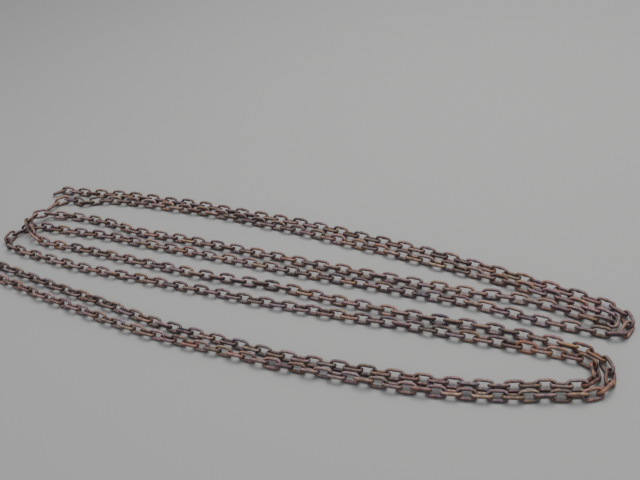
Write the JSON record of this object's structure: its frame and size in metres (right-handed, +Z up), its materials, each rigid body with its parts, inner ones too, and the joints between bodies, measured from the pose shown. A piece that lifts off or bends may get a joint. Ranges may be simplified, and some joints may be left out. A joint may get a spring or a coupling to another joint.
{
  "type": "steel chain stock",
  "caption": "Rusty welded steel chain in two lengths, laid side by side to and fro in flat zigzag runs on the floor.",
  "frame": {"origin": "middle of the base, on the floor", "axes": "+X along the runs towards the end where both strands turn back at the right, +Y away from the nearest run towards the far pair of runs, +Z up"},
  "size_m": [2.7402, 0.7559, 0.0579],
  "materials": {
    "rusty_steel_a": "brown rust, matte",
    "rusty_steel_b": "dark brown rust, matte"
  },
  "bodies": {
    "root": {"strand_a_crossing_turn": "rusty_steel_a", "strand_a_far_end_link": "rusty_steel_a", "strand_a_far_run_1": "rusty_steel_a", "strand_a_far_run_2": "rusty_steel_a", "strand_a_far_run_3": "rusty_steel_a", "strand_a_far_run_4": "rusty_steel_a", "strand_a_fifth_run_1": "rusty_steel_a", "strand_a_fifth_run_2": "rusty_steel_a", "strand_a_fifth_run_3": "rusty_steel_a", "strand_a_fifth_run_4": "rusty_steel_a", "strand_a_hairpin_link": "rusty_steel_a", "strand_a_last_end_link": "rusty_steel_a", "strand_a_last_run_1": "rusty_steel_a", "strand_a_last_run_2": "rusty_steel_a", "strand_a_last_turn": "rusty_steel_a", "strand_a_near_run_1": "rusty_steel_a", "strand_a_near_run_2": "rusty_steel_a", "strand_a_near_run_3": "rusty_steel_a", "strand_a_near_run_4": "rusty_steel_a", "strand_a_near_turn": "rusty_steel_a", "strand_a_third_run_1": "rusty_steel_a", "strand_a_third_run_2": "rusty_steel_a", "strand_a_third_run_3": "rusty_steel_a", "strand_a_third_run_4": "rusty_steel_a", "strand_b_far_end_link": "rusty_steel_b", "strand_b_far_run_1": "rusty_steel_b", "strand_b_far_run_2": "rusty_steel_b", "strand_b_far_run_3": "rusty_steel_b", "strand_b_far_run_4": "rusty_steel_b", "strand_b_far_turn": "rusty_steel_b", "strand_b_fourth_run_1": "rusty_steel_b", "strand_b_fourth_run_2": "rusty_steel_b", "strand_b_fourth_run_3": "rusty_steel_b", "strand_b_fourth_run_4": "rusty_steel_b", "strand_b_last_end_link": "rusty_steel_b", "strand_b_last_run_1": "rusty_steel_b", "strand_b_last_run_2": "rusty_steel_b", "strand_b_last_turn": "rusty_steel_b", "strand_b_near_run_1": "rusty_steel_b", "strand_b_near_run_2": "rusty_steel_b", "strand_b_near_run_3": "rusty_steel_b", "strand_b_near_run_4": "rusty_steel_b", "strand_b_near_turn": "rusty_steel_b", "strand_b_outer_turn": "rusty_steel_b", "strand_b_sixth_run_1": "rusty_steel_b", "strand_b_sixth_run_2": "rusty_steel_b", "strand_b_sixth_run_3": "rusty_steel_b", "strand_b_sixth_run_4": "rusty_steel_b"}
  },
  "joints": []
}
